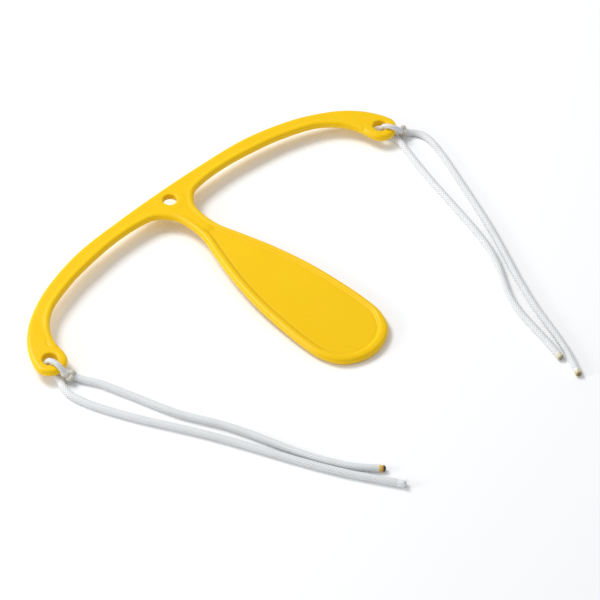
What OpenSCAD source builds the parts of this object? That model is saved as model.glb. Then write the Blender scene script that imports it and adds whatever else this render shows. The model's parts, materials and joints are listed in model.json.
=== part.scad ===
// Sock aid: a flat bow with a rimmed paddle, moulded in one piece, and a braided pull
// cord tied through the eye at each end of the bow. It lies on a table: the paddle's tip
// touches the table and the bow rests on the two cords where they pass under its eyes.
// Right and left are +X and -X, the paddle points to -Y, and Z = 0 is the table.

/* [Bow and paddle] */
// Distance between the centres of the two eyes
eye_span = 220; // [212:1:228]
// Thickness of the bow, and of the paddle at its rim
plate_t = 4.2; // [4:0.1:4.4]
// Radius of the rounded edges
edge_r = 1.6; // [1.2:0.1:1.8]
// Radius of the round lobe about each eye
lobe_r = 8.1; // [7.9:0.1:8.3]
// Diameter of the eye holes
eye_hole_d = 7.2; // [7:0.1:7.4]
// Diameter of the hanging hole in the middle of the bow
hang_hole_d = 7; // [6:0.1:8]
// Depth of the sunk panel in each face of the paddle
panel_depth = 1; // [0.6:0.1:1.3]
// Slope of the moulding where the cords hold its bow off the table
lean = 2.4; // [2.4:0.1:2.6]

/* [Cords] */
// Diameter of the braided cord
cord_d = 3.5; // [3.2:0.1:3.5]
// Diameter of the tight knot beside each eye
knot_d = 5.8; // [5.6:0.1:6.2]
// Length of the heat-sealed end of each tail
sealed_len = 4; // [3:0.5:6]

/* [Colours] */
// Moulded plastic
plastic_colour = "#FACA12"; // [#FACA12, #F2C200, #FFD23A]
// Braided cord
cord_colour = "#E6EAEF"; // [#E6EAEF, #F4F4F0, #D9DCE2]
// Scorched cord end
sealed_colour = "#B98A3C"; // [#B98A3C, #8A6A3A, #D8C9A0]

/* [Hidden] */

// The outline and the routes below are drawn for this distance between the eyes.
drawn_span = 220;
size = eye_span / drawn_span;

// The hanging hole is this far behind the middle of the moulding.
hang_back = 65 * size;
tip_y = -138.8;
// Height of the hanging hole's lower rim: the paddle's tip is what touches the table.
hang_lift = (-tip_y * size - edge_r) * sin(lean);
eye = [110, -36.5];

// Right half of the outline, drawn flat about the hanging hole, from the middle of the
// bow's back round to the paddle's tip. The lobe about the eye is an arc.
bow_back = [[0, 8.1], [27, 7.6], [55, 5.7], [77, 0.3], [90, -5], [103, -13.2], [113, -24.2]];
lobe = [for (a = [-5 : -34 : -175]) eye + lobe_r / size * [cos(a), sin(a)]];
bow_front = [[100.8, -29.5], [96.7, -21.3], [88, -13.3], [70.4, -6.6], [57, -3.7],
             [36, -1.1], [20.4, -1.6], [13.2, -3.4]];
throat = [[6.9, -10.3], [5.2, -18.4], [5.8, -28.7], [9.5, -41]];
paddle_side = [[14.4, -58], [18.4, -78], [20.2, -96], [20.8, -112]];
paddle_tip = [[19.9, -123.2], [15.5, -132.4], [8, -137.3], [0, tip_y]];
half_outline = concat(bow_back, lobe, bow_front, throat, paddle_side, paddle_tip);

// Right half of the sunk panel, from the point in the throat to the paddle's tip
half_panel = [[0, -28], [3, -36], [5.9, -44], [10.3, -60], [13.9, -80], [15.7, -98],
              [16.1, -112], [14.8, -122.5], [11, -129.5], [5.8, -132.8], [0, -133.8]];

steps = 3;       // points drawn for each stretch between two outline points
round_steps = 3; // flats in each rounded edge
cord_sides = 8;

// Cord routes, in mm about the middle of the moulding. Each turn runs from the table, in
// under the lobe's rim, up through the eye, and over the rim to the knot.
left_turn_route = [[-113.6, 16.5, 1.75], [-112.4, 19.6, 1.75], [-111.3, 22.6, 1.8],
                   [-111, 25.5, 2], [-111.1, 27.7, 3.5], [-111.2, 28.4, 6],
                   [-110.9, 27.9, 8.9], [-110.7, 26.2, 10.6], [-110.4, 23.6, 11.1],
                   [-109.8, 20.8, 10.5], [-108.9, 18.6, 8.4], [-108.2, 17.9, 5.4]];
right_turn_route = [[112.8, 16.8, 1.75], [113.4, 20, 1.8], [113.6, 23.2, 1.8],
                    [112.4, 26.1, 1.9], [110.9, 27.9, 3.6], [110.5, 28.1, 6.2],
                    [110.6, 27.5, 8.9], [111.5, 25.8, 10.5], [113, 23.6, 11],
                    [115, 21.9, 10.2], [116.9, 21, 8.1], [117.8, 21, 5.2]];
left_knot_at = [-107.9, 17.6, 3.2];
right_knot_at = [118, 21, 3.2];

// Tails, from the eye to the free end, with one ring at each point
left_inner_route = [[-106, 15.2, 2.2], [-103.6, 10.6, 1.75], [-101, 5.5, 1.75],
                    [-97.7, -4.8, 1.75], [-94.6, -15.2, 1.75], [-91.7, -25.6, 1.75],
                    [-88.2, -35.9, 1.75], [-83.6, -45.6, 1.75], [-79, -55.4, 1.75],
                    [-75.3, -65.5, 1.75], [-72, -75.8, 1.75], [-68.9, -86.2, 1.75],
                    [-65.5, -96.4, 1.75], [-61.2, -106.2, 1.75], [-55.8, -115.5, 1.75],
                    [-49.8, -123, 1.75]];
left_outer_route = [[-113.8, 15.9, 1.75], [-114.8, 10, 1.75], [-113.3, 1.3, 1.75],
                    [-109.7, -8.9, 1.75], [-105.5, -18.8, 1.75], [-100.9, -28.5, 1.75],
                    [-96, -38, 1.75], [-91.2, -47.6, 1.75], [-86.6, -57.3, 1.75],
                    [-82.3, -67.1, 1.75], [-78.2, -77, 1.75], [-74.1, -86.9, 1.75],
                    [-69.9, -96.8, 1.75], [-65.5, -106.5, 1.75], [-60.7, -116.1, 1.75],
                    [-55.5, -125.4, 1.75], [-49.7, -135.5, 1.75]];
right_outer_route = [[121.1, 19.1, 2.1], [123.3, 16.5, 1.75], [124.6, 12.6, 1.75],
                     [124.1, 6.5, 1.75], [121.8, -0.8, 1.75], [117.9, -10.8, 1.75],
                     [113.7, -20.7, 1.75], [109.6, -30.6, 1.75], [105.4, -40.4, 1.75],
                     [101.1, -50.2, 1.75], [96.7, -59.8, 1.75], [91.9, -69.4, 1.75],
                     [87, -78.9, 1.75], [82.2, -88.4, 1.75], [77.6, -98, 1.75],
                     [73.3, -107.8, 1.75], [69.6, -117.8, 1.75], [65.9, -127.7, 1.75],
                     [61.7, -137.5, 1.75], [56.3, -147.8, 1.75]];
right_inner_route = [[112.6, 16.2, 1.75], [110.8, 11, 1.75], [107.6, 1.4, 1.75],
                     [104.5, -8.4, 1.75], [101.6, -18.4, 1.75], [98.9, -28.4, 1.75],
                     [96.1, -38.5, 1.75], [93.3, -48.4, 1.75], [90.1, -58.3, 1.75],
                     [86.3, -67.8, 1.75], [81.4, -76.9, 1.75], [75.6, -85.6, 1.75],
                     [70.1, -94.5, 1.75], [66.2, -104, 1.75], [63.4, -114, 1.75],
                     [60.9, -124.2, 1.75], [57.9, -134.8, 1.75]];

// A point of a smooth curve through p1 and p2, u of the way between them
function gap(a, b) = sqrt(norm(b - a));
function curve_point(p0, p1, p2, p3, u) =
    let (t1 = gap(p0, p1),
         t2 = t1 + gap(p1, p2),
         t3 = t2 + gap(p2, p3),
         t = t1 + u * (t2 - t1),
         a1 = ((t1 - t) * p0 + t * p1) / t1,
         a2 = ((t2 - t) * p1 + (t - t1) * p2) / (t2 - t1),
         a3 = ((t3 - t) * p2 + (t - t2) * p3) / (t3 - t2),
         b1 = ((t2 - t) * a1 + t * a2) / t2,
         b2 = ((t3 - t) * a2 + (t - t1) * a3) / (t3 - t1))
    ((t2 - t) * b1 + (t - t1) * b2) / (t2 - t1);
function mirrored(p) = [-p.x, p.y];

// The whole closed loop through a right half whose first and last points are on the axis
function whole(half) = concat(half, [for (i = [len(half) - 2 : -1 : 1]) mirrored(half[i])]);
function smooth_loop(loop) =
    let (n = len(loop))
    [for (i = [0 : n - 1], s = [0 : steps - 1])
        curve_point(loop[(i + n - 1) % n], loop[i], loop[(i + 1) % n], loop[(i + 2) % n],
                    s / steps)];
// The same loop, which runs clockwise, moved in by a distance
function inset(loop, by) =
    let (n = len(loop))
    [for (i = [0 : n - 1])
        let (run = loop[(i + 1) % n] - loop[(i + n - 1) % n])
        loop[i] + by * [run.y, -run.x] / norm(run)];

outline = smooth_loop(whole(size * half_outline));
// The panel comes to a sharp point in the throat, so that end isn't smoothed.
panel = let (half = size * half_panel,
             n = len(half),
             back = [for (i = [0 : n - 2], s = [0 : steps - 1])
                 curve_point(i == 0 ? half[0] - (half[1] - half[0]) : half[i - 1], half[i],
                             half[i + 1],
                             i == n - 2 ? mirrored(half[n - 2]) : half[i + 2], s / steps)])
        whole(concat(back, [half[n - 1]]));

// Each ring of the moulding's skin is [how far in, how high].
skin_rings = concat(
    [for (i = [0 : round_steps])
        let (a = 90 * i / round_steps)
        [edge_r * (1 - sin(a)), edge_r * (1 - cos(a))]],
    [for (i = [0 : round_steps])
        let (a = 90 * i / round_steps)
        [edge_r * (1 - cos(a)), plate_t - edge_r * (1 - sin(a))]]);

// A closed skin over rings of the same number of points. caps are the faces that fill one
// ring, seen from its inner side.
module skin(rings, caps) {
    n = len(rings[0]);
    last = len(rings) - 1;
    walls = [for (r = [0 : last - 1], i = [0 : n - 1])
        [r * n + i, r * n + (i + 1) % n, (r + 1) * n + (i + 1) % n, (r + 1) * n + i]];
    first_cap = [for (cap = caps) [for (i = [len(cap) - 1 : -1 : 0]) cap[i]]];
    last_cap = [for (cap = caps) [for (i = cap) last * n + i]];
    polyhedron(points = [for (ring = rings) each ring],
               faces = concat(walls, first_cap, last_cap));
}

// The flat faces of the moulding: strips across each arm, from its back edge to its front
// edge, and strips from side to side down the throat and the paddle.
loop_n = len(outline);
arm_n = (len(bow_back) + len(lobe) + len(bow_front) - 2) * steps;
function across_loop(i) = (loop_n - i) % loop_n;
arm_strips = [for (i = [0 : floor(arm_n / 2) - 1]) [i, i + 1, arm_n - i - 1, arm_n - i]];
middle_strips = [for (i = [arm_n : loop_n / 2 - 2])
    [i, i + 1, across_loop(i + 1), across_loop(i)]];
web_and_tip = [[0, arm_n, across_loop(arm_n)],
               [loop_n / 2 - 1, loop_n / 2, across_loop(loop_n / 2 - 1)]];
other_arm_strips = [for (strip = arm_strips)
    [for (i = [3 : -1 : 0]) across_loop(strip[i])]];
flat_faces = concat(arm_strips, other_arm_strips, middle_strips, web_and_tip);

// A round cord along a route. across is a direction that the route never runs along.
module cord(route, across) {
    n = len(route);
    skin([for (i = [0 : n - 1])
        let (run = route[min(i + 1, n - 1)] - route[max(i - 1, 0)],
             ahead = run / norm(run),
             flat = across - (across * ahead) * ahead,
             side = flat / norm(flat),
             up = cross(side, ahead))
        [for (s = [0 : cord_sides - 1])
            let (a = 360 * (s + 0.5) / cord_sides)
            route[i] + cord_d / 2 * (cos(a) * side + sin(a) * up)]],
         [[for (s = [0 : cord_sides - 1]) s]]);
}

// Routes keep their heights: the cord lies on the table at any size of moulding.
function fitted(route) = [for (p = route) [p.x * size, p.y * size, p.z]];

module tail(route) {
    color(cord_colour) cord(fitted(route), [0, 0, 1]);
}

// across points along the lobe's rim, where the turn goes round it.
module eye_turn(route, across) {
    color(cord_colour) cord(fitted(route), across);
}

module knot(at) {
    color(cord_colour)
        translate([at.x * size, at.y * size, at.z])
            sphere(d = knot_d, $fn = 32);
}

// The melted end that keeps a braided tail from fraying
module sealed_end(route) {
    path = fitted(route);
    end = path[len(path) - 1];
    run = end - path[len(path) - 2];
    color(sealed_colour)
        translate(end)
            rotate([0, 90, atan2(run.y, run.x)])
                cylinder(d = cord_d, h = sealed_len, $fn = 24);
}

module bow_paddle() {
    color(plastic_colour)
        translate([0, hang_back, hang_lift])
            rotate([lean, 0, 0])
                difference() {
                    skin([for (ring = skin_rings)
                        [for (p = inset(outline, ring[0])) [p.x, p.y, ring[1]]]], flat_faces);
                    translate([0, 0, -1])
                        cylinder(d = hang_hole_d, h = plate_t + 2, $fn = 48);
                    for (side = [-1, 1])
                        translate([side * eye.x * size, eye.y * size, -1])
                            cylinder(d = eye_hole_d, h = plate_t + 2, $fn = 48);
                    for (z = [plate_t - panel_depth, -1])
                        translate([0, 0, z])
                            linear_extrude(height = panel_depth + 1)
                                polygon(panel);
                }
}

module left_eye_turn() {
    eye_turn(left_turn_route, [1, 0, 0]);
}

module left_knot() {
    knot(left_knot_at);
}

module left_inner_tail() {
    tail(left_inner_route);
}

module left_outer_tail() {
    tail(left_outer_route);
}

module left_inner_end() {
    sealed_end(left_inner_route);
}

module left_outer_end() {
    sealed_end(left_outer_route);
}

module right_eye_turn() {
    eye_turn(right_turn_route, [0.8, 0.6, 0]);
}

module right_knot() {
    knot(right_knot_at);
}

module right_inner_tail() {
    tail(right_inner_route);
}

module right_outer_tail() {
    tail(right_outer_route);
}

module right_inner_end() {
    sealed_end(right_inner_route);
}

module right_outer_end() {
    sealed_end(right_outer_route);
}

bow_paddle();
left_eye_turn();
left_knot();
left_inner_tail();
left_outer_tail();
left_inner_end();
left_outer_end();
right_eye_turn();
right_knot();
right_inner_tail();
right_outer_tail();
right_inner_end();
right_outer_end();
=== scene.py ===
"""Sock aid: a yellow moulded bow and paddle with a white braided pull cord at each end.

The flat frame is the moulding's own: its origin is the middle of the hanging hole, X runs
across the bow, -Y runs down the paddle and Z is up through the plate. The hanging hole's
mount gives its place and slope in the part's frame.
"""

import json
import math
import random

import bmesh
import bpy
import numpy as np
from mathutils import Matrix, Vector, kdtree


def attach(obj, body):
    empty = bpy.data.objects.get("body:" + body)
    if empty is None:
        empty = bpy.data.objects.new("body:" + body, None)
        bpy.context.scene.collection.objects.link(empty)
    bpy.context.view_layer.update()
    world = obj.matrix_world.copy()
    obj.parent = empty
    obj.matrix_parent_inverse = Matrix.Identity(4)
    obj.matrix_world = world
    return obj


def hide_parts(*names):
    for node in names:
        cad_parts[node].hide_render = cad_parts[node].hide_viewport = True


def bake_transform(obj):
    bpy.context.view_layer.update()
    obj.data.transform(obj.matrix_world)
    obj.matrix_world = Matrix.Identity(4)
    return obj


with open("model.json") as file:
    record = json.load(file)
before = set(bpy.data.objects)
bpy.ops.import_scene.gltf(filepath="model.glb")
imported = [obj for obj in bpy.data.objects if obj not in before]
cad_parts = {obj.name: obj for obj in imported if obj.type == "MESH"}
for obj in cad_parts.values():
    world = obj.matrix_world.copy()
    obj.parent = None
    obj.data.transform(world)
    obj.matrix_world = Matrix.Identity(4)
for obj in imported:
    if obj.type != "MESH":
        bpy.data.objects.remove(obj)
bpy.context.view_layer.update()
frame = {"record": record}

MM = 0.001

# ---------------------------------------------------------------- the moulding's own frame

hang_hole = next(m for m in frame["record"]["mounts"] if m["name"] == "hang_hole")
LEAN = math.atan2(-hang_hole["axis"][1], hang_hole["axis"][2])
FLAT_TO_PART = Matrix.Translation(hang_hole["pos_m"]) @ Matrix.Rotation(LEAN, 4, "X")
HANG_HOLE_R = hang_hole["dims"]["r_mm"] * MM
PLATE = hang_hole["dims"]["length_mm"] * MM


# ---------------------------------------------------------------- shared helpers

def ease(t):
    """0 below 0, 1 above 1, and a smooth step between them."""
    t = np.clip(t, 0, 1)
    return t * t * (3 - 2 * t)


def link_object(name, data):
    made = bpy.data.objects.new(name, data)
    bpy.context.scene.collection.objects.link(made)
    return made


def mesh_from(bm, name):
    mesh = bpy.data.meshes.new(name)
    bm.to_mesh(mesh)
    bm.free()
    return mesh


def finish_faces(mesh, material):
    mesh.materials.clear()
    mesh.materials.append(material)
    for face in mesh.polygons:
        face.use_smooth = True


def link_piece(name, mesh, material):
    finish_faces(mesh, material)
    return link_object(name, mesh)


def stand_for(piece, node, body):
    """Put a piece in a CAD node's place, on its body."""
    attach(piece, body)
    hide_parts(node)


CURVE_STEPS = 24          # straight pieces between two given points, before spacing


def smooth_line(points, spacing, closed=False):
    """A smooth line through the points, with its own points evenly spaced."""
    points = [np.array(p, float) for p in points]
    if closed:
        stretches = [(points[i - 1], points[i], points[(i + 1) % len(points)],
                      points[(i + 2) % len(points)]) for i in range(len(points))]
    else:
        ends = [2 * points[0] - points[1], *points, 2 * points[-1] - points[-2]]
        stretches = [ends[i:i + 4] for i in range(len(ends) - 3)]
    line = []
    for a, b, c, d in stretches:
        t1 = math.sqrt(np.linalg.norm(b - a))
        t2 = t1 + math.sqrt(np.linalg.norm(c - b))
        t3 = t2 + math.sqrt(np.linalg.norm(d - c))
        for t in np.linspace(t1, t2, CURVE_STEPS, endpoint=False):
            ab = (a * (t1 - t) + b * t) / t1
            bc = (b * (t2 - t) + c * (t - t1)) / (t2 - t1)
            cd = (c * (t3 - t) + d * (t - t2)) / (t3 - t2)
            abc = (ab * (t2 - t) + bc * t) / t2
            bcd = (bc * (t3 - t) + cd * (t - t1)) / (t3 - t1)
            line.append((abc * (t2 - t) + bcd * (t - t1)) / (t2 - t1))
    line.append(line[0] if closed else points[-1])
    line = np.array(line)
    along = np.concatenate([[0], np.cumsum(np.linalg.norm(np.diff(line, axis=0), axis=1))])
    steps = max(2, round(along[-1] / spacing))
    even = np.linspace(0, along[-1], steps + 1)
    return np.column_stack([np.interp(even, along, line[:, k]) for k in range(line.shape[1])])


# ---------------------------------------------------------------- camera

# The camera's direction is about the leaning moulding. Its place and distance are in metres.
AZIMUTH = math.radians(-45)
ELEVATION = math.radians(47.4)
CAMERA_DISTANCE = 1.25
LOOK_AT = (-0.0021, -0.0268, 0.0055)
LENS_MM = 159.3
SENSOR_MM = 36


def make_camera():
    turn = (Matrix.Rotation(LEAN, 4, "X") @ Matrix.Rotation(AZIMUTH, 4, "Z")
            @ Matrix.Rotation(math.pi / 2 - ELEVATION, 4, "X"))
    data = bpy.data.cameras.new("camera")
    data.sensor_width = SENSOR_MM
    data.lens = LENS_MM
    camera = link_object("camera", data)
    camera.matrix_world = (Matrix.Translation(LOOK_AT) @ turn
                           @ Matrix.Translation((0, 0, CAMERA_DISTANCE)))
    bpy.context.scene.camera = camera


make_camera()


# ---------------------------------------------------------------- materials

def linear(code):
    """The linear colour of an sRGB hex value."""
    channels = [int(code[i:i + 2], 16) / 255 for i in (1, 3, 5)]
    return [c / 12.92 if c <= 0.04045 else ((c + 0.055) / 1.055) ** 2.4 for c in channels] + [1]


def add(tree, kind, inputs=None, **settings):
    """A new node. An input is a value, or the output socket that feeds it."""
    made = tree.nodes.new(kind)
    for name, value in settings.items():
        setattr(made, name, value)
    for key, value in (inputs or {}).items():
        if isinstance(value, bpy.types.NodeSocket):
            tree.links.new(value, made.inputs[key])
        else:
            made.inputs[key].default_value = value
    return made


def new_material(name):
    material = bpy.data.materials.new(name)
    material.use_nodes = True
    tree = material.node_tree
    return material, tree, tree.nodes["Principled BSDF"]


def moulded_polypropylene():
    """Polypropylene, injection moulded in a polished tool: an even strong yellow with a
    soft gloss, a faint orange peel, slight flow marks and a few dark specks of regrind.
    A little light gets into it, which warms the walls of the holes."""
    peel_mm, flow_mm, cloud_mm, speck_mm = 1.1, 9.0, 22.0, 9.0
    peel_deep_mm, flow_deep_mm, light_goes_mm = 0.1, 0.25, 2
    material, tree, shader = new_material("moulded_polypropylene")
    place = add(tree, "ShaderNodeTexCoord").outputs["Object"]
    cloud = add(tree, "ShaderNodeTexNoise",
                {"Vector": place, "Scale": 1 / (cloud_mm * MM), "Detail": 3.0})
    base = add(tree, "ShaderNodeMix", {"Factor": cloud.outputs["Fac"],
                                       "A": linear("#F0C202"), "B": linear("#F3C603")},
               data_type="RGBA")
    cells = add(tree, "ShaderNodeTexVoronoi",
                {"Vector": place, "Scale": 1 / (speck_mm * MM), "Randomness": 1.0})
    speck = add(tree, "ShaderNodeMapRange",
                {"Value": cells.outputs["Distance"], "From Min": 0.014, "From Max": 0.03,
                 "To Min": 0.55, "To Max": 0.0})
    specked = add(tree, "ShaderNodeMix", {"Factor": speck.outputs["Result"],
                                          "A": base.outputs["Result"], "B": linear("#7A4A06")},
                  data_type="RGBA")
    tree.links.new(specked.outputs["Result"], shader.inputs["Base Color"])
    gloss = add(tree, "ShaderNodeMapRange",
                {"Value": cloud.outputs["Fac"], "From Min": 0.3, "From Max": 0.7,
                 "To Min": 0.3, "To Max": 0.38})
    tree.links.new(gloss.outputs["Result"], shader.inputs["Roughness"])
    peel = add(tree, "ShaderNodeTexNoise",
               {"Vector": place, "Scale": 1 / (peel_mm * MM), "Detail": 2.0})
    flow = add(tree, "ShaderNodeTexNoise",
               {"Vector": place, "Scale": 1 / (flow_mm * MM), "Detail": 1.0})
    fine = add(tree, "ShaderNodeBump", {"Height": peel.outputs["Fac"], "Strength": 0.12,
                                        "Distance": peel_deep_mm * MM})
    broad = add(tree, "ShaderNodeBump", {"Height": flow.outputs["Fac"], "Strength": 0.35,
                                         "Distance": flow_deep_mm * MM,
                                         "Normal": fine.outputs["Normal"]})
    tree.links.new(broad.outputs["Normal"], shader.inputs["Normal"])
    shader.inputs["IOR"].default_value = 1.49
    shader.inputs["Specular IOR Level"].default_value = 0.22
    shader.inputs["Subsurface Weight"].default_value = 0.2
    shader.inputs["Subsurface Radius"].default_value = (1.0, 0.5, 0.1)
    shader.inputs["Subsurface Scale"].default_value = light_goes_mm * MM
    return material


# The braid: this many strands wind each way round the cord, each strand takes up this
# much of the cord's length, and each is spun from this many yarns.
BRAID_STRANDS = 8
BRAID_STEP = 1.7 * MM
BRAID_YARNS = 3
CORD_R = 1.75 * MM


def braided_polyester(name, high, low):
    """Polyester, braided: bright rounded strands with painted shade in the hollows between them,
    fine yarns along each strand, a faint grime and a soft sheen."""
    grime_mm, yarn_mm = 6, 0.06
    material, tree, shader = new_material(name)
    uv = add(tree, "ShaderNodeSeparateXYZ",
             {"Vector": add(tree, "ShaderNodeUVMap", uv_map="braid").outputs["UV"]})

    def sum_of(a, b):
        return add(tree, "ShaderNodeMath", {0: a, 1: b}, operation="ADD").outputs[0]

    def times(a, b):
        return add(tree, "ShaderNodeMath", {0: a, 1: b}, operation="MULTIPLY").outputs[0]

    def only(a, operation):
        return add(tree, "ShaderNodeMath", {0: a}, operation=operation).outputs[0]

    right_hand = sum_of(uv.outputs["X"], uv.outputs["Y"])
    left_hand = sum_of(uv.outputs["X"], times(uv.outputs["Y"], -1.0))
    ridges = [only(only(times(hand, math.pi), "SINE"), "ABSOLUTE")
              for hand in (right_hand, left_hand)]
    hollow = times(ridges[0], ridges[1])
    turn = sum_of(only(right_hand, "FLOOR"), only(left_hand, "FLOOR"))
    over = only(only(times(turn, math.pi / 2), "SINE"), "ABSOLUTE")
    yarns = [only(times(hand, 2 * math.pi * BRAID_YARNS), "SINE")
             for hand in (right_hand, left_hand)]
    yarn = add(tree, "ShaderNodeMix", {"Factor": over, "A": yarns[0], "B": yarns[1]},
               data_type="FLOAT").outputs["Result"]
    place = add(tree, "ShaderNodeTexCoord").outputs["Object"]
    grime = add(tree, "ShaderNodeTexNoise",
                {"Vector": place, "Scale": 1 / (grime_mm * MM), "Detail": 4.0})
    # Painted shade: the hollows between strands are tinted toward the low colour, and the grime
    # noise adds a random tone on top.
    hollow_shade_and_grime = sum_of(only(hollow, "SQRT"), times(grime.outputs["Fac"], 0.3))
    shade = add(tree, "ShaderNodeMapRange", {"Value": hollow_shade_and_grime, "From Min": 0.25, "From Max": 1.0})
    tint = add(tree, "ShaderNodeMix", {"Factor": shade.outputs["Result"],
                                       "A": linear(low), "B": linear(high)}, data_type="RGBA")
    tree.links.new(tint.outputs["Result"], shader.inputs["Base Color"])
    bump = add(tree, "ShaderNodeBump",
               {"Height": yarn, "Strength": 0.4, "Distance": yarn_mm * MM})
    tree.links.new(bump.outputs["Normal"], shader.inputs["Normal"])
    shader.inputs["Roughness"].default_value = 0.72
    shader.inputs["Sheen Weight"].default_value = 0.25
    shader.inputs["Sheen Roughness"].default_value = 0.4
    return material


def melted_polyester(name, colours):
    """Polyester cord end, cut and sealed with a flame: the braid runs into a glassy skin
    that goes from the cord's own white to the colour of its tip."""
    blotch_mm, skin_mm = 0.9, 0.15
    material, tree, shader = new_material(name)
    uv = add(tree, "ShaderNodeSeparateXYZ",
             {"Vector": add(tree, "ShaderNodeUVMap", uv_map="braid").outputs["UV"]})
    place = add(tree, "ShaderNodeTexCoord").outputs["Object"]
    blotch = add(tree, "ShaderNodeTexNoise",
                 {"Vector": place, "Scale": 1 / (blotch_mm * MM), "Detail": 3.0})
    spread = add(tree, "ShaderNodeMath", {0: blotch.outputs["Fac"], 1: 0.3, 2: -0.15},
                 operation="MULTIPLY_ADD")
    way = add(tree, "ShaderNodeMath", {0: uv.outputs["Z"], 1: spread.outputs[0]})
    strands_long = SEALED_LENGTH / BRAID_STEP
    share = add(tree, "ShaderNodeMath",
                {0: uv.outputs["Y"], 1: 1 / strands_long, 2: way.outputs[0]},
                operation="MULTIPLY_ADD")
    ramp = add(tree, "ShaderNodeValToRGB", {"Fac": share.outputs[0]})
    stops = ramp.color_ramp.elements
    for i, (at, code) in enumerate(colours):
        stop = stops[i] if i < 2 else stops.new(at)
        stop.position = at
        stop.color = linear(code)
    tree.links.new(ramp.outputs["Color"], shader.inputs["Base Color"])
    bump = add(tree, "ShaderNodeBump", {"Height": blotch.outputs["Fac"], "Strength": 0.5,
                                        "Distance": skin_mm * MM})
    tree.links.new(bump.outputs["Normal"], shader.inputs["Normal"])
    shader.inputs["Roughness"].default_value = 0.38
    return material


# ---------------------------------------------------------------- cords

# Routes in millimetres in the part's frame. Each turn comes in under the eye's rim, goes up
# through the eye and over the rim into the knot. Each tail starts inside the knot or under
# the rim and runs to where its sealed end begins.
ROUTES = {
    "left_eye_turn": [
        (-112.4, 19.6, 1.75), (-111.3, 22.6, 1.8), (-111.2, 25.4, 2.0), (-111.8, 27.6, 3.4),
        (-112, 28.4, 5.8), (-111.8, 28.0, 8.2), (-111.3, 26.5, 9.4), (-110.8, 24.3, 9.5),
        (-110.4, 22.2, 8.9), (-110, 20.7, 7.5), (-109.5, 19.6, 5.8), (-108.6, 18.4, 4.2)],
    "right_eye_turn": [
        (113.4, 20, 1.8), (113.6, 23.2, 1.8), (112.4, 26.1, 1.9), (110.9, 27.4, 3.6),
        (110.5, 27.6, 6.2), (110.5, 26.6, 8.4), (110.9, 24.8, 9.5), (112, 22.9, 9.5),
        (113.3, 21.6, 8.6), (114.7, 21, 7.2), (116, 20.9, 5.6), (117.2, 21, 4)],
    "left_inner_tail": [
        (-107.4, 17, 3), (-106, 15.2, 2.2), (-103.6, 10.6, 1.75), (-101, 5.5, 1.75),
        (-97.7, -4.8, 1.75), (-94.6, -15.2, 1.75), (-91.7, -25.6, 1.75),
        (-88.2, -35.9, 1.75), (-83.6, -45.6, 1.75), (-79, -55.4, 1.75),
        (-75.3, -65.5, 1.75), (-72, -75.8, 1.75), (-68.9, -86.2, 1.75),
        (-65.5, -96.4, 1.75), (-61.2, -106.2, 1.75), (-55.8, -115.5, 1.75),
        (-49.8, -123, 1.75)],
    "left_outer_tail": [
        (-111.3, 22.6, 1.8), (-112.4, 19.6, 1.75), (-113.8, 15.9, 1.75),
        (-114.8, 10, 1.75), (-113.3, 1.3, 1.75), (-109.7, -8.9, 1.75),
        (-105.5, -18.8, 1.75), (-100.9, -28.5, 1.75), (-96, -38, 1.75),
        (-91.2, -47.6, 1.75), (-86.6, -57.3, 1.75), (-82.3, -67.1, 1.75),
        (-78.2, -77, 1.75), (-74.1, -86.9, 1.75), (-69.9, -96.8, 1.75),
        (-65.5, -106.5, 1.75), (-60.7, -116.1, 1.75), (-55.5, -125.4, 1.75),
        (-49.7, -135.5, 1.75)],
    "right_outer_tail": [
        (118.8, 20.7, 3), (121.1, 19.1, 2.1), (123.3, 16.5, 1.75), (124.6, 12.6, 1.75),
        (124.1, 6.5, 1.75), (121.8, -0.8, 1.75), (117.9, -10.8, 1.75),
        (113.7, -20.7, 1.75), (109.6, -30.6, 1.75), (105.4, -40.4, 1.75),
        (101.1, -50.2, 1.75), (96.7, -59.8, 1.75), (91.9, -69.4, 1.75),
        (87, -78.9, 1.75), (82.2, -88.4, 1.75), (77.6, -98, 1.75), (73.3, -107.8, 1.75),
        (69.6, -117.8, 1.75), (65.9, -127.7, 1.75), (61.7, -137.5, 1.75),
        (56.3, -147.8, 1.75)],
    "right_inner_tail": [
        (113.6, 23.2, 1.8), (113.4, 20, 1.8), (112.6, 16.2, 1.75), (110.8, 11, 1.75),
        (107.6, 1.4, 1.75), (104.5, -8.4, 1.75), (101.6, -18.4, 1.75),
        (98.9, -28.4, 1.75), (96.1, -38.5, 1.75), (93.3, -48.4, 1.75),
        (90.1, -58.3, 1.75), (86.3, -67.8, 1.75), (81.4, -76.9, 1.75),
        (75.6, -85.6, 1.75), (70.1, -94.5, 1.75), (66.2, -104, 1.75),
        (63.4, -114, 1.75), (60.9, -124.2, 1.75), (57.9, -134.8, 1.75)],
}
KNOTS = {"left_knot": (-107.9, 17.6, 3.7), "right_knot": (118, 21, 3.7)}

CORD_FACETS = 48
CORD_SPACING = 0.3 * MM
BRAID_RELIEF = 0.17 * MM  # depth of the hollows between strands
PULLED_TIGHT = 0.3        # share by which the cord thins where it's pulled round the rim
KNOT_STRAND_R = 1.25 * MM
KNOT_SIZE = 0.68 * MM     # a third of the radius of the knot's windings
SEALED_LENGTH = 4 * MM
SEALED_STEPS = 20
MERGE = 0.002 * MM        # closer points of a wrapped grid are one point


def cord_line(name):
    return smooth_line([[c * MM for c in p] for p in ROUTES[name]], CORD_SPACING)


def carried_frames(line):
    """Two directions square to the line at each of its points, carried along it untwisted."""
    ahead = np.gradient(line, axis=0)
    ahead /= np.linalg.norm(ahead, axis=1)[:, None]
    side = np.cross(ahead[0], (0, 0, 1)) + np.array((1e-6, 0, 0))
    sides = []
    for way in ahead:
        side = side - way * (side @ way)
        side /= np.linalg.norm(side)
        sides.append(side)
    sides = np.array(sides)
    return sides, np.cross(ahead, sides)


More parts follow.
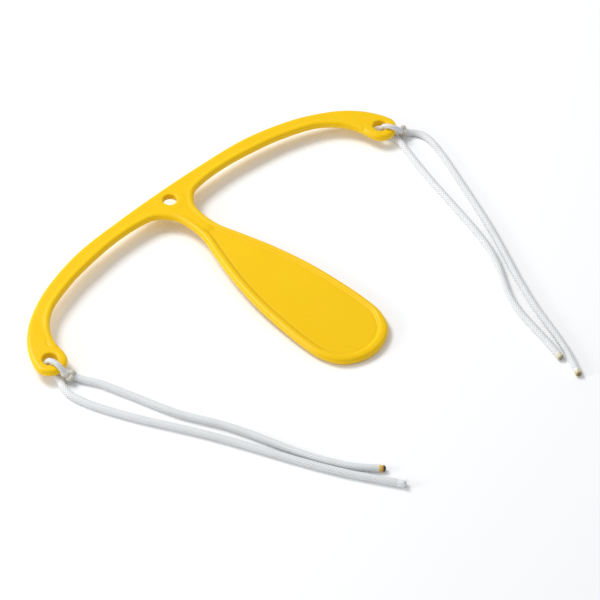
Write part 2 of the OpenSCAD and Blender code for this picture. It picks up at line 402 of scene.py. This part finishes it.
def braid_height(around, along):
    """Height of the braid, 0 to 1, where around and along count strands."""
    right_hand, left_hand = around + along, around - along
    across = np.abs(np.sin(math.pi * right_hand)), np.abs(np.sin(math.pi * left_hand))
    over = (np.floor(right_hand) + np.floor(left_hand)) % 2
    crown = np.where(over < 0.5, across[0], across[1])
    dip = np.where(over < 0.5, across[1], across[0])
    return crown ** 0.7 * dip ** 0.4


def wrapped_mesh(name, line, radius_at, closed=False, squeeze=0.0):
    """A grid wrapped round a line. radius_at gives the radius from the strand counts around
    and along, and the share of the way along. The UV map counts strands too. squeeze is the
    share by which the middle of the line is drawn thin."""
    length = np.linalg.norm(np.diff(line, axis=0), axis=1).sum()
    sides, ups = carried_frames(line)
    strands_along = length / BRAID_STEP
    if closed:
        strands_along = round(strands_along)
    bm = bmesh.new()
    bmesh.ops.create_grid(bm, x_segments=CORD_FACETS, y_segments=len(line) - 1, size=0.5)
    uv = bm.loops.layers.uv.new("braid")
    for face in bm.faces:
        for loop in face.loops:
            loop[uv].uv = ((loop.vert.co.x + 0.5) * BRAID_STRANDS,
                           (loop.vert.co.y + 0.5) * strands_along)
    flat = np.array([v.co for v in bm.verts])
    around, share = flat[:, 0] + 0.5, flat[:, 1] + 0.5
    at = share * (len(line) - 1)
    count = np.arange(len(line))
    centre, side, up = (np.column_stack([np.interp(at, count, w[:, k]) for k in range(3)])
                        for w in (line, sides, ups))
    angle = -2 * math.pi * around
    radius = radius_at(around * BRAID_STRANDS, share * strands_along, share)
    radius = radius * (1 - squeeze * np.sin(math.pi * share) ** 0.6)
    place = centre + radius[:, None] * (np.cos(angle)[:, None] * side
                                        + np.sin(angle)[:, None] * up)
    for vert, co in zip(bm.verts, place):
        vert.co = co
    bmesh.ops.remove_doubles(bm, verts=bm.verts, dist=MERGE)
    bmesh.ops.holes_fill(bm, edges=bm.edges, sides=CORD_FACETS + 1)
    bmesh.ops.recalc_face_normals(bm, faces=bm.faces)
    return mesh_from(bm, name)


def braided(radius):
    def radius_at(around, along, share):
        return radius - BRAID_RELIEF * (1 - braid_height(around, along))
    return radius_at


def knot_line(centre, size, turn):
    """The closed line of an overhand knot pulled tight, a trefoil."""
    t = np.linspace(0, 2 * math.pi, 48, endpoint=False)
    loop = np.column_stack([np.sin(t) + 2 * np.sin(2 * t), np.cos(t) - 2 * np.cos(2 * t),
                            -1.55 * np.sin(3 * t)]) * size
    loop = loop @ np.array(turn.to_matrix()).T + np.array(centre) * MM
    return smooth_line(loop, CORD_SPACING, closed=True)


def sealed_end_mesh(name, line, tip_r, lump, seed):
    """The last stretch of a tail: the braid melts into a blunt uneven bead."""
    last = line[-1]
    way = last - line[-4]
    way /= np.linalg.norm(way)
    end_line = np.array([last + way * SEALED_LENGTH * i / SEALED_STEPS
                         for i in range(SEALED_STEPS + 1)])
    phase = random.Random(seed).random() * 6
    melted_by, dome_from = 1.6, 0.72

    def radius_at(around, along, share):
        turn = around / BRAID_STRANDS * 2 * math.pi
        braid = braided(CORD_R)(around, along, share)
        bead = tip_r * (1 + lump * np.sin(turn + phase) + lump * np.sin(2 * turn - phase * 2))
        body = braid + (bead - braid) * ease(share * melted_by)
        round_tip = ((share - dome_from) / (1 - dome_from)).clip(0, 1)
        dome = np.sqrt(np.clip(1 - round_tip ** 2, 0, 1))
        return body * dome
    return wrapped_mesh(name, end_line, radius_at)


def frayed_fibres(name, at, way, count, seed):
    """Loose fibre ends round a tail that was cut and barely sealed."""
    draw = random.Random(seed)
    bm = bmesh.new()
    for _ in range(count):
        angle = draw.uniform(0, 2 * math.pi)
        out = Vector((-way.y * math.cos(angle), way.x * math.cos(angle), math.sin(angle)))
        root = at + out * CORD_R * draw.uniform(0.55, 0.95)
        lean = (way * draw.uniform(0.5, 1) + out * draw.uniform(0.1, 0.7)).normalized()
        long = draw.uniform(0.9, 2.1) * MM
        turn = lean.to_track_quat("Z", "Y").to_matrix().to_4x4()
        bmesh.ops.create_cone(bm, cap_ends=True, segments=5, radius1=0.09 * MM,
                              radius2=0.03 * MM, depth=long,
                              matrix=Matrix.Translation(root + lean * long / 2) @ turn)
    for vert in bm.verts:
        vert.co.z = max(vert.co.z, 0.05 * MM)
    return mesh_from(bm, name)


CORD_WHITE = braided_polyester("braided_polyester_cord", "#ECEFF3", "#C6C5BE")
# The knot's hollows take a browner painted shade.
KNOT_WHITE = braided_polyester("braided_polyester_knot", "#ECE9E1", "#A3936D")

GOLDEN_END = melted_polyester("scorched_polyester_golden", [
    (0.12, "#E6E6E0"), (0.34, "#E6C06A"), (0.62, "#CC9A3E"), (0.8, "#2A1206")])
PALE_END = melted_polyester("sealed_polyester_pale", [
    (0.0, "#E9ECF0"), (0.5, "#E2E4E6"), (0.85, "#CFCFCA"), (1.0, "#A9A79F")])
BEIGE_END = melted_polyester("sealed_polyester_beige", [
    (0.3, "#E4E4DF"), (0.55, "#D6CCAA"), (0.8, "#C2B386"), (0.97, "#6E6242")])
GREY_END = melted_polyester("sealed_polyester_grey", [
    (0.1, "#E4E4E1"), (0.35, "#D8D4C0"), (0.8, "#CBC4AA"), (0.97, "#918971")])

# Each end: its finish, the radius and unevenness of its melted bead, and its random seed
ENDS = {
    "left_inner_end": (GOLDEN_END, 1.45 * MM, 0.04, 3),
    "left_outer_end": (PALE_END, 1.72 * MM, 0.05, 5),
    "right_inner_end": (GREY_END, 1.6 * MM, 0.06, 7),
    "right_outer_end": (BEIGE_END, 1.55 * MM, 0.05, 9),
}
FRAY_COUNT = 22
FRAY_SEED = 11


def make_turn(side):
    name = f"{side}_eye_turn"
    mesh = wrapped_mesh(name, cord_line(name), braided(CORD_R), squeeze=PULLED_TIGHT)
    piece = link_piece(name + "_cord", mesh, CORD_WHITE)
    stand_for(piece, name, f"{side}_hitch")


def make_knot(side, turn):
    name = f"{side}_knot"
    line = knot_line(KNOTS[name], KNOT_SIZE, turn)
    mesh = wrapped_mesh(name, line, braided(KNOT_STRAND_R), closed=True)
    piece = link_piece(name + "_cord", mesh, KNOT_WHITE)
    stand_for(piece, name, f"{side}_hitch")


def make_end(side, which, line):
    name = f"{side}_{which}_end"
    material, tip_r, lump, seed = ENDS[name]
    piece = link_piece(name + "_melt", sealed_end_mesh(name, line, tip_r, lump, seed), material)
    stand_for(piece, name, f"{side}_tails")
    return piece


def make_tail(side, which):
    name = f"{side}_{which}_tail"
    line = cord_line(name)
    piece = link_piece(name + "_cord", wrapped_mesh(name, line, braided(CORD_R)), CORD_WHITE)
    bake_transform(piece)
    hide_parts(name)
    make_end(side, which, line)
    return line


def make_fray(line):
    way = Vector(line[-1] - line[-4]).normalized()
    at = Vector(line[-1]) + way * SEALED_LENGTH * 0.7
    mesh = frayed_fibres("left_outer_fray", at, way, FRAY_COUNT, FRAY_SEED)
    piece = link_piece("left_outer_fray", mesh, PALE_END)
    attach(piece, "left_tails")


# The way each knot faces
KNOT_TURNS = {"left": Vector((-0.25, -0.55, 0.8)).to_track_quat("Z", "X"),
              "right": Vector((-0.1, -0.6, 0.8)).to_track_quat("Z", "Y")}

for side in ("left", "right"):
    make_turn(side)
    make_knot(side, KNOT_TURNS[side])
    for which in ("inner", "outer"):
        tail_line = make_tail(side, which)
        if (side, which) == ("left", "outer"):
            make_fray(tail_line)


# ---------------------------------------------------------------- moulding

# Right half of the outline in the flat frame, in millimetres, from the middle of the bow's
# back round to the paddle's tip. The lobe about the eye is an arc.
EYE = (110, -36.5)
LOBE_R = 8.1
EYE_HOLE_R = 3.6
BOW_BACK = [(0, 8.1), (27, 7.6), (55, 5.7), (77, 0.3), (90, -5), (103, -13.2), (113, -24.2)]
LOBE = [(EYE[0] + LOBE_R * math.cos(math.radians(a)), EYE[1] + LOBE_R * math.sin(math.radians(a)))
        for a in range(-5, -176, -34)]
BOW_FRONT = [(100.8, -29.5), (96.7, -21.3), (88, -13.3), (70.4, -6.6), (57, -3.7),
             (36, -1.1), (20.4, -1.6), (13.2, -3.4)]
THROAT = [(6.9, -10.3), (5.2, -18.4), (5.8, -28.7), (9.5, -41)]
PADDLE = [(14.4, -58), (18.4, -78), (20.2, -96), (20.8, -112), (19.9, -123.2),
          (15.5, -132.4), (8, -137.3), (0, -138.8)]

EDGE_R = 1.6 * MM         # rounding of the moulding's edges
SKIN = 0.44 * MM          # size of the skin's faces
HALF = PLATE / 2
OUTLINE_SPACING = 0.4 * MM
EDGE_SPACING = 0.2 * MM
WELD = 0.01 * MM          # closer points of the filled outline are one point

# The bead along the front edges: how far in its inner side starts and how far it falls
BEAD_START = 1.5 * MM
BEAD_FALL = 0.3 * MM
BEAD_SIDE = 1.9 * MM
PANEL_FALL = 0.68 * MM    # more round the paddle
PANEL_START = 1.2 * MM
PANEL_START_RIGHT = 0.3 * MM
PANEL_START_TIP = 0.6 * MM
GROOVE_DEEP = 0.24 * MM
GROOVE_IN = 1.7 * MM
GROOVE_WIDE = 0.5 * MM
FILLET_FALL = 0.45 * MM   # the wider rounding where the arms meet the throat
FILLET_REACH = 3.4 * MM
BOSS_HIGH = 0.12 * MM
BOSS_R = 6 * MM
BOSS_FADE = 2.4 * MM


def mirrored_loop(half):
    return half + [(-x, y) for x, y in half[-2:0:-1]]


def in_metres(points):
    return [(x * MM, y * MM) for x, y in points]


def front_edges():
    """The open line round the front of the moulding, from one lobe to the other."""
    half = BOW_FRONT + THROAT + PADDLE
    return smooth_line(in_metres(half + [(-x, y) for x, y in half[-2::-1]]), EDGE_SPACING)


OUTLINE = smooth_line(in_metres(mirrored_loop(BOW_BACK + LOBE + BOW_FRONT + THROAT + PADDLE)),
                      OUTLINE_SPACING, closed=True)[:-1]


def nearest(points, to):
    """Distance from each point to the nearest point of a line, in the flat frame's plan."""
    tree = kdtree.KDTree(len(to))
    for i, p in enumerate(to):
        tree.insert((p[0], p[1], 0), i)
    tree.balance()
    return np.array([tree.find((p[0], p[1], 0))[2] for p in points])


def evaluated_mesh(piece):
    """The mesh of an object with its curve filled or its modifiers applied."""
    bpy.context.view_layer.update()
    shown = piece.evaluated_get(bpy.context.evaluated_depsgraph_get())
    return bpy.data.meshes.new_from_object(shown)


def soften(bm):
    bmesh.ops.smooth_vert(bm, verts=bm.verts, factor=0.5, use_axis_x=True,
                          use_axis_y=True, use_axis_z=True)


def plate_curve():
    """The outline as a flat curve, filled and thickened, with rounded edges."""
    data = bpy.data.curves.new("bow_plate", "CURVE")
    data.dimensions = "2D"
    data.fill_mode = "BOTH"
    spline = data.splines.new("POLY")
    spline.points.add(len(OUTLINE) - 1)
    for point, (x, y) in zip(spline.points, OUTLINE):
        point.co = (x, y, 0, 1)
    spline.use_cyclic_u = True
    data.extrude = HALF - EDGE_R
    data.bevel_depth = EDGE_R
    data.bevel_resolution = 6
    data.offset = -EDGE_R
    return data


def hole_cutter():
    bm = bmesh.new()
    for x, y, r in ((0, 0, HANG_HOLE_R), (EYE[0] * MM, EYE[1] * MM, EYE_HOLE_R * MM),
                    (-EYE[0] * MM, EYE[1] * MM, EYE_HOLE_R * MM)):
        bmesh.ops.create_cone(bm, cap_ends=True, segments=64, radius1=r, radius2=r,
                              depth=4 * PLATE, matrix=Matrix.Translation((x, y, 0)))
    return link_object("hole_cutter", mesh_from(bm, "hole_cutter"))


def surface_drop(plan):
    """How far each point of either face lies below the plate's full height. A rounded bead
    follows the front edges. It is low along the arms and stands high round the paddle's
    sunk panel, with a fine groove at its foot."""
    x, y = plan[:, 0], plan[:, 1]
    from_edge = nearest(plan, front_edges())
    on_paddle = ease((-y - 25 * MM) / (5 * MM))
    at_tip = ease((-y - 118 * MM) / (12 * MM))
    by_eye = ease((np.abs(x) - 97 * MM) / (8 * MM))
    on_right = ease((x + 4 * MM) / (8 * MM)) * (1 - at_tip)
    panel_start = PANEL_START + (PANEL_START_RIGHT - PANEL_START) * on_right
    starts = BEAD_START + panel_start * on_paddle + PANEL_START_TIP * at_tip
    depth = (BEAD_FALL + PANEL_FALL * on_paddle) * (1 - by_eye)
    bead = depth * ease((from_edge - starts) / BEAD_SIDE)
    groove = GROOVE_DEEP * on_paddle * np.exp(-((from_edge - starts - GROOVE_IN) / GROOVE_WIDE) ** 2)
    in_fillet = np.exp(-((np.abs(x) - 10 * MM) / (7 * MM)) ** 2 - ((y + 6 * MM) / (8 * MM)) ** 2)
    fillet = FILLET_FALL * in_fillet * np.clip(1 - from_edge / FILLET_REACH, 0, 1) ** 2
    hole_boss = BOSS_HIGH * (1 - ease((np.hypot(x, y) - BOSS_R) / BOSS_FADE))
    return bead + groove + fillet - np.minimum(hole_boss, bead)


def make_moulding():
    curve = link_object("bow_plate", plate_curve())
    mesh = evaluated_mesh(curve)
    bpy.data.objects.remove(curve)
    bm = bmesh.new()
    bm.from_mesh(mesh)
    bmesh.ops.remove_doubles(bm, verts=bm.verts, dist=WELD)
    bmesh.ops.recalc_face_normals(bm, faces=bm.faces)
    bm.to_mesh(mesh)
    bm.free()
    piece = link_object("bow_and_paddle", mesh)

    cutter = hole_cutter()
    cut = piece.modifiers.new("holes", "BOOLEAN")
    cut.operation = "DIFFERENCE"
    cut.solver = "EXACT"
    cut.object = cutter
    skin = piece.modifiers.new("skin", "REMESH")
    skin.mode = "VOXEL"
    skin.voxel_size = SKIN
    mesh = evaluated_mesh(piece)
    piece.modifiers.clear()
    piece.data = mesh
    bpy.data.objects.remove(cutter)

    bm = bmesh.new()
    bm.from_mesh(mesh)
    soften(bm)
    soften(bm)
    place = np.array([v.co for v in bm.verts])
    place[:, 2] *= 1 - surface_drop(place[:, :2]) / HALF
    for vert, co in zip(bm.verts, place):
        vert.co = co
    soften(bm)
    bmesh.ops.transform(bm, matrix=FLAT_TO_PART, verts=bm.verts)
    bm.to_mesh(mesh)
    bm.free()
    finish_faces(mesh, moulded_polypropylene())
    stand_for(piece, "bow_paddle", "moulding")


make_moulding()


# ---------------------------------------------------------------- studio

def painted_floor():
    """Matt white board, with a very faint unevenness."""
    cloud_mm = 333
    material, tree, shader = new_material("white_board")
    place = add(tree, "ShaderNodeTexCoord").outputs["Object"]
    cloud = add(tree, "ShaderNodeTexNoise",
                {"Vector": place, "Scale": 1 / (cloud_mm * MM), "Detail": 2.0})
    tone = add(tree, "ShaderNodeMix", {"Factor": cloud.outputs["Fac"],
                                       "A": linear("#FAFAFA"), "B": linear("#FCFCFC")},
               data_type="RGBA")
    tree.links.new(tone.outputs["Result"], shader.inputs["Base Color"])
    shader.inputs["Roughness"].default_value = 0.95
    shader.inputs["Specular IOR Level"].default_value = 0.1
    return material


def make_floor():
    bm = bmesh.new()
    bmesh.ops.create_grid(bm, x_segments=2, y_segments=2, size=3)
    link_piece("floor", mesh_from(bm, "floor"), painted_floor())


MIDDLE = (0, -0.03, 0)
SKY = 0.56                # strength of the light from all round


def soft_light(name, place, size, energy):
    data = bpy.data.lights.new(name, "AREA")
    data.shape = "DISK"
    data.size = size
    data.energy = energy
    light = link_object(name, data)
    light.location = place
    way = Vector(MIDDLE) - Vector(place)
    light.rotation_mode = "QUATERNION"
    light.rotation_quaternion = way.to_track_quat("-Z", "Y")


def make_studio():
    make_floor()
    soft_light("key", (-0.12, 0.76, 1.05), size=0.6, energy=10.6)
    soft_light("low_fill", (-1.15, 0.62, 0.5), size=0.5, energy=5.0)
    world = bpy.data.worlds.new("studio")
    world.use_nodes = True
    background = world.node_tree.nodes["Background"]
    background.inputs["Color"].default_value = linear("#FAFCFF")
    background.inputs["Strength"].default_value = SKY
    bpy.context.scene.world = world
    bpy.context.scene.view_settings.view_transform = "Standard"


make_studio()
